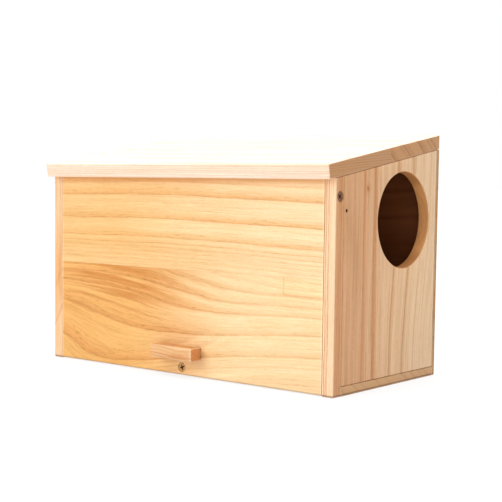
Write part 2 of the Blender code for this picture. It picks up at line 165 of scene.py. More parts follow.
class Graph:
    """Short calls for a material's or a world's nodes. A value is a number or a node's output."""

    def __init__(self, name, kind="materials"):
        self.owner = getattr(bpy.data, kind).new(name)
        self.owner.use_nodes = True
        self.tree = self.owner.node_tree
        self.tree.nodes.clear()
        self.coords = self.node("ShaderNodeTexCoord")

    def node(self, kind, **settings):
        made = self.tree.nodes.new(kind)
        for key, value in settings.items():
            setattr(made, key, value)
        return made

    def feed(self, socket, value):
        if isinstance(value, bpy.types.NodeSocket):
            self.tree.links.new(value, socket)
        elif socket.type == "VECTOR":
            socket.default_value = value[:3]
        else:
            socket.default_value = value

    def math(self, operation, *values):
        node = self.node("ShaderNodeMath", operation=operation)
        for socket, value in zip(node.inputs, values):
            self.feed(socket, value)
        return node.outputs[0]

    def add(self, *values):
        total = values[0]
        for value in values[1:]:
            total = self.math("ADD", total, value)
        return total

    def minus(self, first, second):
        return self.math("SUBTRACT", first, second)

    def times(self, *values):
        total = values[0]
        for value in values[1:]:
            total = self.math("MULTIPLY", total, value)
        return total

    def swing(self, noise, amount):
        """Noise from 0 to 1 as a swing to either side of 0."""
        return self.times(self.minus(noise, 0.5), amount)

    def ramp_between(self, value, start, end, low=0.0, high=1.0):
        """Eases from low to high as value goes from start to end."""
        node = self.node("ShaderNodeMapRange", interpolation_type="SMOOTHSTEP")
        for socket, part in zip(node.inputs, (value, start, end, low, high)):
            self.feed(socket, part)
        return node.outputs[0]

    def ramp_linear(self, value, start, end):
        node = self.node("ShaderNodeMapRange")
        for socket, part in zip(node.inputs, (value, start, end)):
            self.feed(socket, part)
        return node.outputs[0]

    def hill(self, value, centre, width):
        """1 at centre, falling smoothly to 0 a few widths away."""
        offset = self.times(self.minus(value, centre), 1 / width)
        return self.math("EXPONENT", self.times(offset, offset, -1.0))

    def split(self, vector):
        node = self.node("ShaderNodeSeparateXYZ")
        self.feed(node.inputs[0], vector)
        return node.outputs[0], node.outputs[1], node.outputs[2]

    def join(self, x, y, z):
        node = self.node("ShaderNodeCombineXYZ")
        for socket, value in zip(node.inputs, (x, y, z)):
            self.feed(socket, value)
        return node.outputs[0]

    def facing(self, axis):
        """How much the surface faces along an axis, from -1 to 1."""
        return self.split(self.coords.outputs["Normal"])[axis]

    def noise(self, vector, detail, rough):
        node = self.node("ShaderNodeTexNoise")
        self.feed(node.inputs["Vector"], vector)
        node.inputs["Scale"].default_value = 1.0
        node.inputs["Detail"].default_value = detail
        node.inputs["Roughness"].default_value = rough
        return node.outputs["Fac"]

    def mix(self, amount, first, second, blend="MIX"):
        node = self.node("ShaderNodeMix", data_type="RGBA", blend_type=blend)
        self.feed(node.inputs["Factor"], amount)
        self.feed(node.inputs[6], first)
        self.feed(node.inputs[7], second)
        return node.outputs[2]

    def scaled(self, vector, amount):
        node = self.node("ShaderNodeVectorMath", operation="SCALE")
        self.feed(node.inputs[0], vector)
        self.feed(node.inputs["Scale"], amount)
        return node.outputs[0]

    def ring_ramp(self, value, span, stops):
        """A curve through (place, height) stops, 0 at both ends of the span."""
        low, high = span
        node = self.node("ShaderNodeValToRGB")
        self.feed(node.inputs[0], self.ramp_linear(value, low, high))
        ramp = node.color_ramp
        for end in (0, 1):
            ramp.elements[end].color = (0, 0, 0, 1)
        for place, level in stops:
            stop = ramp.elements.new((place - low) / (high - low))
            stop.color = (level, level, level, 1)
        return node.outputs[0]


def finish_surface(graph, colour, rough, height, distance, metallic=0.0, gloss=0.3):
    """The shader and the output that every material ends in."""
    shader = graph.node("ShaderNodeBsdfPrincipled")
    bump = graph.node("ShaderNodeBump")
    bump.inputs["Distance"].default_value = distance
    bump.inputs["Strength"].default_value = BUMP_STRENGTH
    graph.feed(bump.inputs["Height"], height)
    graph.feed(shader.inputs["Base Color"], colour)
    graph.feed(shader.inputs["Roughness"], rough)
    graph.feed(shader.inputs["Normal"], bump.outputs[0])
    shader.inputs["Metallic"].default_value = metallic
    shader.inputs["Specular IOR Level"].default_value = gloss
    output = graph.node("ShaderNodeOutputMaterial")
    graph.feed(output.inputs["Surface"], shader.outputs[0])


# Wood -----------------------------------------------------------------------

# Noise drawn out along the grain: cycles per millimetre along it and across it, detail, roughness
PLAIN_NOISE = {
    "wobble": (0.012, 0.05, 3, 0.55),
    "dash": (0.16, 2.2, 2, 0.6),
    "mottle": (0.34, 0.9, 3, 0.6),
}
# The same, but bent along with the growth rings
RING_NOISE = {
    "broad": (0.006, 0.045, 3, 0.55),
    "streak": (0.008, 0.38, 5, 0.65),
    "fibre": (0.03, 1.2, 5, 0.75),
    "thread": (0.0045, 0.30, 2, 0.5),
    "pore": (0.11, 1.9, 2, 0.5),
}
END_SPECK = (0.1, 1.3, 4, 0.7)
NOISE_LOW = 0.3
NOISE_HIGH = 0.7
RING_WOBBLE = 3.5

# Rings, threads and pores: lengths in millimetres, strengths from 0 to 1
BAND_RISE = 0.9
BAND_BREAKS = (0.55, 1.15)
LINE_RISE = 0.75
LINE_CREST = 0.1
LINE_FALL = 0.65
LINE_DASHES = (0.36, 0.60, 0.35, 1.0)
LINE_STRENGTH = 0.75
THREAD_WIDTH = 0.02
THREAD_DASHES = (0.35, 0.6, 0.3, 1.0)
PORE_EDGE = (0.58, 0.70)
PORES_BETWEEN_BANDS = 0.35
PORE_DARKNESS = 0.26
FIBRE_STRENGTH = 0.50
MOTTLE_STRENGTH = 0.16
DARK_GREEN_POWER = 1.3
DARK_BLUE_POWER = 2.2

# Cut ends
END_MARKS = (0.3, 0.9)
END_BRIGHTNESS = (0.80, 0.4)
END_FACE = (0.6, 0.85)

# Painted contact shade along the foot, and handled edges
FOOT_SHADE_EDGE = (2.2, 1.1)
FOOT_SHADE_STRENGTH = 0.7
FOOT_SHADE_TINT = srgb(120, 74, 42)
WEAR_EDGE = (1.9, 0.9)
WEAR_RAGGED = 1.6
WEAR_TINT = srgb(250, 226, 192)

# Shine and relief
DULL_ROUGHNESS = 0.62
GLOSS_SMOOTHS = 0.4
STREAK_ROUGHENS = 0.16
END_ROUGHENS = 0.18
WEAR_SMOOTHS = 0.25
FIBRE_HEIGHT = 0.6
STREAK_HEIGHT = 0.35
PORE_HEIGHT = 0.6
LINE_HEIGHT = 0.4


class Look:
    """What one kind of board looks like: its colours, and how strongly its figure shows."""

    def __init__(self, pale, deep, band, line, end, end_band, **strengths):
        self.pale = pale
        self.deep = deep
        self.band = band
        self.line = line
        self.end = end
        self.end_band = end_band
        self.streaks = strengths.get("streaks", 0.34)
        self.threads = strengths.get("threads", 0.26)
        self.gloss = strengths.get("gloss", 0.3)
        self.worn = strengths.get("worn", 0.35)


def board_xyz(graph, tilt):
    """Object coordinates in millimetres, in the frame of a board tilted about X."""
    turn = graph.node("ShaderNodeVectorRotate", rotation_type="X_AXIS")
    graph.feed(turn.inputs["Vector"], graph.coords.outputs["Object"])
    turn.inputs["Angle"].default_value = -tilt
    return graph.split(graph.scaled(turn.outputs[0], 1 / MM))


def board_place(graph, along, across, through, tilt=0.0):
    """Millimetres along the grain, across it, and through the board."""
    parts = board_xyz(graph, tilt)
    return parts[along], parts[across], parts[through]


def board_box(nodes, tilt=0.0):
    """The box round some CAD nodes, in millimetres, in the board's own tilted frame."""
    turn = Matrix.Rotation(-tilt, 4, "X")
    corners = [turn @ v.co for node in nodes for v in frame["nodes"][node].data.vertices]
    low = [min(c[axis] for c in corners) / MM for axis in range(3)]
    high = [max(c[axis] for c in corners) / MM for axis in range(3)]
    return low, high, tilt


def end_grain_mask(graph, axis):
    """1 on the faces that cut across the grain."""
    return graph.ramp_between(graph.math("ABSOLUTE", graph.facing(axis)), *END_FACE)


def edge_wear(graph, box, raggedness):
    """1 on the handled edges of a board, broken up by noise."""
    low, high, tilt = box
    position = board_xyz(graph, tilt)
    distances = []
    for axis in range(3):
        inside_low = graph.minus(position[axis], low[axis])
        inside_high = graph.minus(high[axis], position[axis])
        distances.append(graph.math("MINIMUM", inside_low, inside_high))
    lower = graph.math("MINIMUM", distances[0], distances[1])
    upper = graph.math("MAXIMUM", distances[0], distances[1])
    second = graph.math("MAXIMUM", lower, graph.math("MINIMUM", upper, distances[2]))
    ragged = graph.add(second, graph.times(raggedness, WEAR_RAGGED))
    return graph.ramp_between(ragged, *WEAR_EDGE)


def stretched_noise(graph, place, along, across, detail, rough):
    """Noise drawn out along the grain."""
    vector = graph.join(
        graph.times(place[0], along), graph.times(place[1], across), graph.times(place[2], across)
    )
    return graph.noise(vector, detail, rough)


def growth_bands(graph, ring, span, rings):
    """The soft summer band of each ring. A ring is its place, its strength, and how far it fades."""
    stops = []
    for place, strength, fade in rings:
        stops += [(place - BAND_RISE, 0.0), (place, strength), (place + fade, 0.0)]
    return graph.ring_ramp(ring, span, stops)


def growth_lines(graph, ring, span, rings):
    """The thin line of open pores where each ring starts."""
    stops = []
    for place, strength, _ in rings:
        stops += [(place - LINE_RISE, 0.0), (place - LINE_CREST, strength), (place + LINE_FALL, 0.0)]
    return graph.ring_ramp(ring, span, stops)


def darker_and_redder(graph, colour, tone):
    """Darker wood is also redder: blue falls fastest as the tone drops."""
    green = graph.math("POWER", tone, DARK_GREEN_POWER)
    blue = graph.math("POWER", tone, DARK_BLUE_POWER)
    node = graph.node("ShaderNodeVectorMath", operation="MULTIPLY")
    graph.feed(node.inputs[0], colour)
    graph.feed(node.inputs[1], graph.join(tone, green, blue))
    return node.outputs[0]


def end_grain_colour(graph, speck, marks, look):
    """The rough cut ends, where the rings show as specked stripes."""
    marks = graph.math("MINIMUM", marks, 1.0)
    marks = graph.times(marks, graph.ramp_between(speck, NOISE_LOW, NOISE_HIGH, *END_MARKS))
    colour = graph.mix(marks, look.end, look.end_band)
    darkest, swing = END_BRIGHTNESS
    return graph.scaled(colour, graph.add(darkest, graph.times(speck, swing)))


def wood(graph, place, ring, rings, span, look, end_axis, box, paint_over=None, cavity_shade_mask=None, figure=1.0):
    """Finishes a wood material from the board's place and its ring coordinate, in millimetres.

    Figure is how strongly the rings show, from 0 to 1.
    """
    along, across, through = place
    noise = {name: stretched_noise(graph, place, *scales) for name, scales in PLAIN_NOISE.items()}
    ring = graph.add(ring, graph.swing(noise["wobble"], RING_WOBBLE))
    for name, scales in RING_NOISE.items():
        noise[name] = stretched_noise(graph, (along, ring, through), *scales)

    band = growth_bands(graph, ring, span, rings)
    breaks = graph.ramp_between(noise["streak"], NOISE_LOW, NOISE_HIGH, *BAND_BREAKS)
    band = graph.times(band, breaks, figure)
    line = growth_lines(graph, ring, span, rings)
    dashes = graph.ramp_between(noise["dash"], *LINE_DASHES)
    line = graph.times(line, dashes, graph.math("SQRT", figure))
    threads = graph.hill(noise["thread"], 0.5, THREAD_WIDTH)
    threads = graph.times(threads, graph.ramp_between(noise["dash"], *THREAD_DASHES))
    pores = graph.ramp_between(noise["pore"], *PORE_EDGE)
    pores = graph.times(pores, graph.add(PORES_BETWEEN_BANDS, band))

    colour = graph.mix(graph.ramp_between(noise["broad"], NOISE_LOW, NOISE_HIGH), look.pale, look.deep)
    if paint_over is not None:
        colour = paint_over(graph, colour, place, ring)
    colour = graph.mix(band, colour, look.band)
    colour = graph.mix(graph.times(threads, look.threads, figure), colour, look.line)
    colour = graph.mix(graph.times(line, LINE_STRENGTH), colour, look.line)
    tone = graph.add(1.0, graph.swing(noise["streak"], look.streaks))
    tone = graph.add(tone, graph.swing(noise["fibre"], FIBRE_STRENGTH))
    tone = graph.add(tone, graph.swing(noise["mottle"], MOTTLE_STRENGTH))
    tone = graph.minus(tone, graph.times(pores, PORE_DARKNESS))
    colour = darker_and_redder(graph, colour, tone)

    ends = end_grain_mask(graph, end_axis)
    speck = stretched_noise(graph, place, *END_SPECK)
    colour = graph.mix(ends, colour, end_grain_colour(graph, speck, graph.add(band, line), look))
    # Painted shade: the face that looks into the nest is darkened, for the dark nest inside
    if cavity_shade_mask is not None:
        colour = graph.mix(cavity_shade_mask, colour, CAVITY_PAINTED_SHADE, "MULTIPLY")
    # Painted contact shade: darker along the foot of each board, where it meets the floor
    foot_shade = graph.ramp_between(board_xyz(graph, 0.0)[AXIS_Z], *FOOT_SHADE_EDGE)
    colour = graph.mix(graph.times(foot_shade, FOOT_SHADE_STRENGTH), colour, FOOT_SHADE_TINT)
    wear = graph.times(edge_wear(graph, box, noise["wobble"]), look.worn)
    colour = graph.mix(wear, colour, WEAR_TINT)

    rough = graph.add(
        DULL_ROUGHNESS - look.gloss * GLOSS_SMOOTHS,
        graph.times(noise["streak"], STREAK_ROUGHENS),
        graph.times(ends, END_ROUGHENS),
    )
    rough = graph.minus(rough, graph.times(wear, WEAR_SMOOTHS))
    raised = graph.add(
        graph.times(noise["fibre"], FIBRE_HEIGHT),
        graph.times(noise["streak"], STREAK_HEIGHT),
        graph.times(speck, ends),
    )
    sunk = graph.add(graph.times(pores, PORE_HEIGHT), graph.times(line, LINE_HEIGHT))
    finish_surface(graph, colour, rough, graph.minus(raised, sunk), WOOD_BUMP, gloss=look.gloss)
    return graph.owner


def block_mask(graph, horizontal, vertical, low, high, soft):
    """1 inside a rectangle, with edges as soft as given."""
    inside = 1.0
    for value, start, end in ((horizontal, low[0], high[0]), (vertical, low[1], high[1])):
        inside = graph.times(inside, graph.ramp_between(value, start - soft, start + soft))
        inside = graph.times(inside, graph.ramp_between(value, end + soft, end - soft))
    return inside


def oval(graph, horizontal, vertical, centre, size):
    """1 at the middle of an oval patch, falling to 0 outside it."""
    across = graph.times(graph.minus(horizontal, centre[0]), 1 / size[0])
    upright = graph.times(graph.minus(vertical, centre[1]), 1 / size[1])
    squared = graph.add(graph.times(across, across), graph.times(upright, upright))
    return graph.math("EXPONENT", graph.times(squared, -1.0))


def distance_from(graph, horizontal, vertical, centre):
    across = graph.minus(horizontal, centre[0])
    upright = graph.minus(vertical, centre[1])
    return graph.math("SQRT", graph.add(graph.times(across, across), graph.times(upright, upright)))


# Looks of the boards, as screen colours ---------------------------------------

UPPER_LOOK = Look(
    pale=srgb(239, 197, 139), deep=srgb(233, 184, 119), band=srgb(224, 160, 88), line=srgb(200, 130, 64),
    end=srgb(194, 146, 94), end_band=srgb(160, 108, 62),
)
LOWER_LOOK = Look(
    pale=srgb(230, 176, 104), deep=srgb(220, 161, 87), band=srgb(210, 146, 77), line=srgb(188, 118, 56),
    end=srgb(190, 138, 86), end_band=srgb(156, 102, 58),
)
END_LOOK = Look(
    pale=srgb(240, 199, 156), deep=srgb(232, 186, 140), band=srgb(210, 146, 88), line=srgb(170, 98, 46),
    end=srgb(190, 128, 74), end_band=srgb(162, 102, 56), threads=0.32, streaks=0.42,
)
ROOF_LOOK = Look(
    pale=srgb(247, 222, 202), deep=srgb(242, 211, 184), band=srgb(238, 188, 150), line=srgb(222, 150, 104),
    end=srgb(204, 152, 104), end_band=srgb(156, 102, 60), threads=0.5, gloss=0.5, worn=0.1,
)
FLOOR_LOOK = Look(
    pale=srgb(232, 194, 148), deep=srgb(222, 178, 130), band=srgb(206, 154, 104), line=srgb(176, 116, 70),
    end=srgb(214, 168, 123), end_band=srgb(178, 130, 86),
)
BACK_LOOK = Look(
    pale=srgb(204, 158, 108), deep=srgb(190, 142, 92), band=srgb(172, 118, 72), line=srgb(140, 88, 48),
    end=srgb(188, 138, 88), end_band=srgb(150, 98, 56),
)
HANDLE_LOOK = Look(
    pale=srgb(225, 177, 127), deep=srgb(219, 167, 114), band=srgb(206, 146, 92), line=srgb(178, 114, 62),
    end=srgb(214, 146, 90), end_band=srgb(182, 108, 56), threads=0.2,
)
# Painted shade for the inside of the nest, multiplied into the back panel's inner face
CAVITY_PAINTED_SHADE = (0.32, 0.165, 0.085, 1.0)

# Growth rings of each board: place across the grain in millimetres, strength, and how far it fades
UPPER_RINGS = (
    (89, 0.25, 1.6), (92.5, 0.25, 1.6), (96, 0.3, 1.8), (99.5, 0.4, 2), (103, 0.5, 2.6), (108, 0.7, 6),
    (123.2, 0.9, 6), (142.5, 0.85, 7), (153, 0.3, 3),
)
UPPER_SPAN = (80, 165)
LOWER_RINGS = (
    (12, 0.5, 3), (21.8, 0.55, 5), (34, 0.3, 3), (43, 0.85, 7), (58.5, 0.9, 7), (71.7, 0.85, 4),
    (78, 0.7, 3), (84.2, 0.6, 3), (89, 0.4, 2), (93.5, 0.4, 2),
)
LOWER_SPAN = (-5, 105)
RIGHT_END_RINGS = (
    (-65.2, 0.7, 1.1), (-62.6, 0.8, 0.9), (-57, 0.3, 1.2), (-48, 0.3, 2), (-36, 0.8, 2), (-22, 1.0, 4.5),
    (11, 0.9, 4), (33, 0.9, 4), (49, 0.5, 2), (60, 0.5, 2),
)
LEFT_END_RINGS = (
    (-63, 0.3, 3), (-51, 0.3, 3), (-38, 0.6, 3), (-14, 0.7, 3), (8, 0.7, 3), (30, 0.6, 3), (52, 0.6, 3),
)
ROOF_FRONT_RINGS = (
    (-22, 0.5, 4), (-10, 0.6, 5), (2, 0.5, 5), (11, 0.8, 5), (22, 0.6, 5), (33, 0.8, 6), (44, 0.6, 5),
    (56, 0.7, 5), (68, 0.6, 5),
)
ROOF_REAR_RINGS = (
    (14, 0.9, 9), (31, 0.5, 3), (36, 0.9, 8), (52, 0.45, 3), (56, 0.8, 4), (61, 0.5, 2), (75, 0.95, 9),
    (88, 0.5, 3), (93, 0.8, 4), (104, 0.7, 5),
)
ROOF_SPAN = (-60, 120)
FLOOR_RINGS = (
    (-64, 0.5, 3), (-51, 0.6, 4), (-33, 0.6, 3), (-22, 0.4, 3), (-2, 0.6, 4), (12, 0.5, 3), (36, 0.7, 5),
    (49, 0.7, 3), (60, 0.7, 3), (69, 0.6, 3),
)
BACK_RINGS = (
    (12, 0.5, 4), (34, 0.6, 5), (52, 0.6, 5), (70, 0.5, 5), (92, 0.6, 5), (112, 0.6, 4), (134, 0.7, 4),
    (156, 0.6, 4), (178, 0.5, 4),
)
BACK_SPAN = (-10, 200)
HANDLE_RINGS = ((15.5, 0.5, 1.2), (17.8, 0.6, 1.4), (20.3, 0.3, 1.2), (23.5, 0.4, 1.2))
HANDLE_SPAN = (5, 40)
DEPTH_SPAN = (-90, 90)

# How the rings run: slopes are millimetres across per millimetre along the board and through it.
# A bow is its middle and its half-length along the board, and its height.
UPPER_BOW = (-15.0, 110.0, -2.5)
UPPER_SLOPES = (0.008, 0.5)
UPPER_RING_START = 36.0
UPPER_FIGURE = 0.88
LOWER_MIDDLE = 40.0
LOWER_DROP = (3.0, 74.0, 6.5)
LOWER_SWEEP_PLACE = (-46.0, 45.0)
LOWER_SWEEP_HEIGHT = (18.0, -21.0)
LOWER_SWEEP_LENGTH = 129.0
LOWER_THROUGH = 0.4
LOWER_RING_START = 29.0
LOWER_FIGURE = (-30.0, 80.0, 1.0, 0.42)
RIGHT_LEAN_FADE = (-20.0, 12.0)
RIGHT_LEAN = (150.0, 10.0, 0.0, 12.0)
RIGHT_THROUGH = -1.2
RIGHT_RING_START = 180.0
RIGHT_FIGURE = (25.0, 50.0, 1.0, 0.5)
WALL_HIDES_FIGURE = 0.98
LEFT_SLOPES = (0.03, 0.7)
LEFT_RING_START = 101.0
ROOF_BOW = (60.0, 120.0, 3.0)
ROOF_ALONG = 0.02
ROOF_FRONT_SPACING = 0.5
ROOF_FRONT_SLANT = 6.0
ROOF_REAR_SPACING = 0.9
ROOF_REAR_SLANT = 0.8
FLOOR_SLOPES = (0.03, 1.5)
BACK_BOW = (40.0, 120.0, 9.0)
HANDLE_BOW = (8.0, 12.0, 1.6)
HANDLE_SLOPES = (0.03, 0.6)
HANDLE_RING_START = 50.5

# Tones laid over the wood, in millimetres along the grain and across it. A fade or an edge is
# where it starts and where it ends, then its strength at each if they aren't 0 and 1. A patch is
# its centre and its half-sizes, and a stripe, a seam or a core is its middle and its width. A
# face is how far the surface has to turn that way.

# Door boards
# Painted light: the door boards grow paler towards the entrance end, as light falling across them
UPPER_PAINTED_LIGHT_FADE = (-100.0, 160.0, 0.0, 0.85)
UPPER_PAINTED_LIGHT = srgb(244, 214, 170)
# Painted shade along the top of the door, under the roof's overhang
UPPER_TOP_SHADE_FADE = (153.0, 159.0, 0.0, 0.6)
UPPER_TOP_SHADE = srgb(224, 158, 88)
# Painted light on the lower door board, paler towards the entrance end
LOWER_PAINTED_LIGHT_FADE = (-70.0, 70.0, 0.0, 0.92)
LOWER_PAINTED_LIGHT = srgb(241, 206, 159)
TOP_PATCH = ((25.0, 77.0), (75.0, 16.0))
TOP_PATCH_LEAN = 1.2
TOP_PATCH_STRENGTH = 0.8
LEFT_PATCH = ((-80.0, 62.0), (60.0, 20.0))
LEFT_PATCH_STRENGTH = 0.7
PATCH_LIMIT = 0.9
PATCH_COLOUR = srgb(194, 124, 54)
CLOUD_ALONG = 0.006
CLOUD_ACROSS = 0.32
CLOUD_DEPTH = 3.0
CLOUD_DETAIL = 4
CLOUD_ROUGH = 0.6
CLOUD_FADE = (0.42, 0.58, 0.15, 1.0)
BLOCK_LOW = (103.5, 72.0)
BLOCK_HIGH = (150.0, 95.0)
BLOCK_SOFT = 0.25
BLOCK_SEAM_WIDTH = 0.8
BLOCK_STRENGTH = 0.35
BLOCK_COLOUR = srgb(244, 206, 152)
BLOCK_SEAM_STRENGTH = 0.45
BLOCK_SEAM_COLOUR = srgb(206, 144, 84)

# Right end panel
FRONT_FADE = (10.0, -55.0, 0.0, 0.85)
FRONT_COLOUR = srgb(221, 167, 122)
REAR_FADE = (0.0, 60.0, 0.0, 0.6)
REAR_COLOUR = srgb(244, 212, 174)
STRIPES = ((-34.5, 1.6), (-19.5, 2.2), (-68.0, 2.5))
STRIPE_STRENGTH = 0.55
STRIPE_COLOUR = srgb(222, 146, 90)
SHADE = ((-18.0, 110.0), (7.0, 24.0))
SHADE_LEAN = 0.28
SHADE_STRENGTH = 0.35
SHADE_COLOUR = srgb(190, 140, 102)
KNOT_PLACE = (-31.0, 152.4)
KNOT_RING = (2.6, 3.4)
KNOT_RING_STRENGTH = 0.8
KNOT_RING_COLOUR = srgb(214, 138, 78)
KNOT_CORE = (1.0, 1.3)
KNOT_CORE_STRENGTH = 0.7
KNOT_CORE_COLOUR = srgb(168, 96, 48)
ENTRANCE_PLACE = (21.0, 128.0)
ENTRANCE_WALL = (37.9, 37.4)
WALL_STRENGTH = 0.9
WALL_COLOUR = srgb(222, 150, 78)
FORWARD_FACE = (-0.5, -0.8)
# Painted highlight on the panel's front edge, the forward-facing face next to the door
FRONT_HIGHLIGHT_SPAN = (-60.0, -66.0)
FRONT_HIGHLIGHT_STRENGTH = 0.9
FRONT_HIGHLIGHT_COLOUR = srgb(243, 206, 168)
BELOW_FACE = (149.9, 149.4)
# Painted shade inside the drilled hole and the pivot screw's hole, and a painted shadow ring round the
# pivot screw
DRILLED_PLACE = (-58.7, 136.2)
DRILLED_EDGE = (1.9, 1.6)
PIVOT_PLACE = (-67.0, 146.4)
PIVOT_EDGE = (4.3, 4.0)
PIVOT_SHADOW_RING = (3.8, 0.35)
PIVOT_SHADOW_STRENGTH = 0.4
BORE_SHADE_COLOUR = srgb(36, 20, 10)

# Left end panel
SCARF_SLOPE = 1.9
SCARF_SEAMS = ((346.0, 1.0), (313.0, 1.0))
SCARF_SEAM_STRENGTH = 0.55
SCARF_SEAM_COLOUR = srgb(190, 120, 64)
SCARF_GLOW = (352.0, 45.0)
SCARF_GLOW_FADE = (-45.0, -70.0, 0.15, 0.75)
SCARF_GLOW_COLOUR = srgb(218, 156, 92)

# Back and handle
INWARD_FACE = (-0.6, -0.9)
PLY_CORE = (70.75, 0.7)
PLY_EDGE = (0.7, 0.3)
PLY_COLOUR = srgb(226, 184, 134)
HANDLE_FIGURE = ((8.0, 16.6), (13.0, 2.3))
HANDLE_FIGURE_STRENGTH = 0.85
HANDLE_FIGURE_COLOUR = srgb(200, 132, 72)
HANDLE_CORNER = (20.5, 21.4)
HANDLE_CORNER_STRENGTH = 0.5
HANDLE_CORNER_COLOUR = srgb(240, 204, 160)
UPWARD_FACE = (0.5, 0.9)
# Painted shade on the handle's top face
HANDLE_TOP_SHADE_STRENGTH = 0.85
HANDLE_TOP_SHADE_COLOUR = srgb(196, 140, 86)


# Wood of each board ---------------------------------------------------------

def bow(graph, along, shape):
    """How far the rings bend across the board."""
    middle, half_length, height = shape
    return graph.times(graph.hill(along, middle, half_length), height)


def lean(graph, along, through, slopes):
    """How far the rings drift across the board, along it and through it."""
    return graph.add(graph.times(along, slopes[0]), graph.times(through, slopes[1]))


def upper_door_tone(graph, colour, place, ring):
    """Paler towards the entrance end as painted light, and more orange along the top edge as painted shade
    under the roof's overhang.
    """
    along, across, _ = place
    # Painted light, paler towards the entrance end
    colour = graph.mix(graph.ramp_between(along, *UPPER_PAINTED_LIGHT_FADE), colour, UPPER_PAINTED_LIGHT)
    # Painted shade under the roof's overhang
    return graph.mix(graph.ramp_between(across, *UPPER_TOP_SHADE_FADE), colour, UPPER_TOP_SHADE)


def upper_door_wood(box):
    graph = Graph("door_upper_wood")
    place = board_place(graph, AXIS_X, AXIS_Z, AXIS_Y)
    along, across, through = place
    leaning = lean(graph, along, through, UPPER_SLOPES)
    ring = graph.add(across, bow(graph, along, UPPER_BOW), leaning, UPPER_RING_START)
    return wood(
        graph, place, ring, UPPER_RINGS, UPPER_SPAN, UPPER_LOOK, AXIS_X, box, upper_door_tone,
        figure=UPPER_FIGURE,
    )


def streaky_patch(graph, along, across, ring):
    """The dark streaky patch at the top left of the lower door board."""
    leaning = graph.add(along, graph.times(across, TOP_PATCH_LEAN))
    top = graph.times(oval(graph, leaning, across, *TOP_PATCH), TOP_PATCH_STRENGTH)
    left = graph.times(oval(graph, along, across, *LEFT_PATCH), LEFT_PATCH_STRENGTH)
    dark = graph.math("MINIMUM", graph.add(top, left), PATCH_LIMIT)
    place = graph.join(graph.times(along, CLOUD_ALONG), graph.times(ring, CLOUD_ACROSS), CLOUD_DEPTH)
    clouds = graph.noise(place, CLOUD_DETAIL, CLOUD_ROUGH)
    return graph.times(dark, graph.ramp_between(clouds, *CLOUD_FADE))


def lower_door_tone(graph, colour, place, ring):
    """Paler towards the entrance end as painted light, with a dark patch, and a finger block let in at one
    corner.
    """
    along, across, _ = place
    # Painted light, paler towards the entrance end
    colour = graph.mix(graph.ramp_between(along, *LOWER_PAINTED_LIGHT_FADE), colour, LOWER_PAINTED_LIGHT)
    colour = graph.mix(streaky_patch(graph, along, across, ring), colour, PATCH_COLOUR)
    inner_low = tuple(side + BLOCK_SEAM_WIDTH for side in BLOCK_LOW)
    outer = block_mask(graph, along, across, BLOCK_LOW, BLOCK_HIGH, BLOCK_SOFT)
    inner = block_mask(graph, along, across, inner_low, BLOCK_HIGH, BLOCK_SOFT)
    colour = graph.mix(graph.times(outer, BLOCK_STRENGTH), colour, BLOCK_COLOUR)
    seam = graph.times(graph.minus(outer, inner), BLOCK_SEAM_STRENGTH)
    return graph.mix(seam, colour, BLOCK_SEAM_COLOUR)


def lower_door_wood(box):
    """The rings drop towards the entrance end, and sweep up in the middle."""
    graph = Graph("door_lower_wood")
    place = board_place(graph, AXIS_X, AXIS_Z, AXIS_Y)
    along, across, through = place
    level = graph.times(graph.minus(across, LOWER_MIDDLE), 1 / LOWER_MIDDLE)
    drop_place, drop_length, drop_height = LOWER_DROP
    drop = graph.math("TANH", graph.times(graph.minus(along, drop_place), 1 / drop_length))
    drop = graph.add(graph.times(drop, drop_height), drop_height)
    sweep_start, sweep_shift = LOWER_SWEEP_PLACE
    sweep_middle = graph.add(sweep_start, graph.times(level, sweep_shift))
    lowest, growth = LOWER_SWEEP_HEIGHT
    sweep_height = graph.add(lowest, graph.times(level, growth))
    sweep = graph.times(sweep_height, graph.hill(along, sweep_middle, LOWER_SWEEP_LENGTH))
    ring = graph.add(across, drop, sweep, graph.times(through, LOWER_THROUGH), LOWER_RING_START)
    figure = graph.ramp_between(along, *LOWER_FIGURE)
    return wood(
        graph, place, ring, LOWER_RINGS, LOWER_SPAN, LOWER_LOOK, AXIS_X, box, lower_door_tone,
        figure=figure,
    )


def sawn_wall(graph, place):
    """1 on the round wall of the entrance."""
    along, across, _ = place
    return graph.ramp_between(distance_from(graph, across, along, ENTRANCE_PLACE), *ENTRANCE_WALL)


def bore_and_ring_shade(graph, place):
    """1 inside the drilled hole and the pivot screw's hole, for painted shade, with a painted shadow ring
    round the screw.
    """
    along, across, through = place
    below_face = graph.ramp_between(through, *BELOW_FACE)
    from_drilled = distance_from(graph, across, along, DRILLED_PLACE)
    drilled = graph.times(graph.ramp_between(from_drilled, *DRILLED_EDGE), below_face)
    from_pivot = distance_from(graph, across, along, PIVOT_PLACE)
    pivot = graph.times(graph.ramp_between(from_pivot, *PIVOT_EDGE), below_face)
    pivot_shadow = graph.times(graph.hill(from_pivot, *PIVOT_SHADOW_RING), PIVOT_SHADOW_STRENGTH)
    return graph.math("MAXIMUM", drilled, graph.math("MAXIMUM", pivot_shadow, pivot))


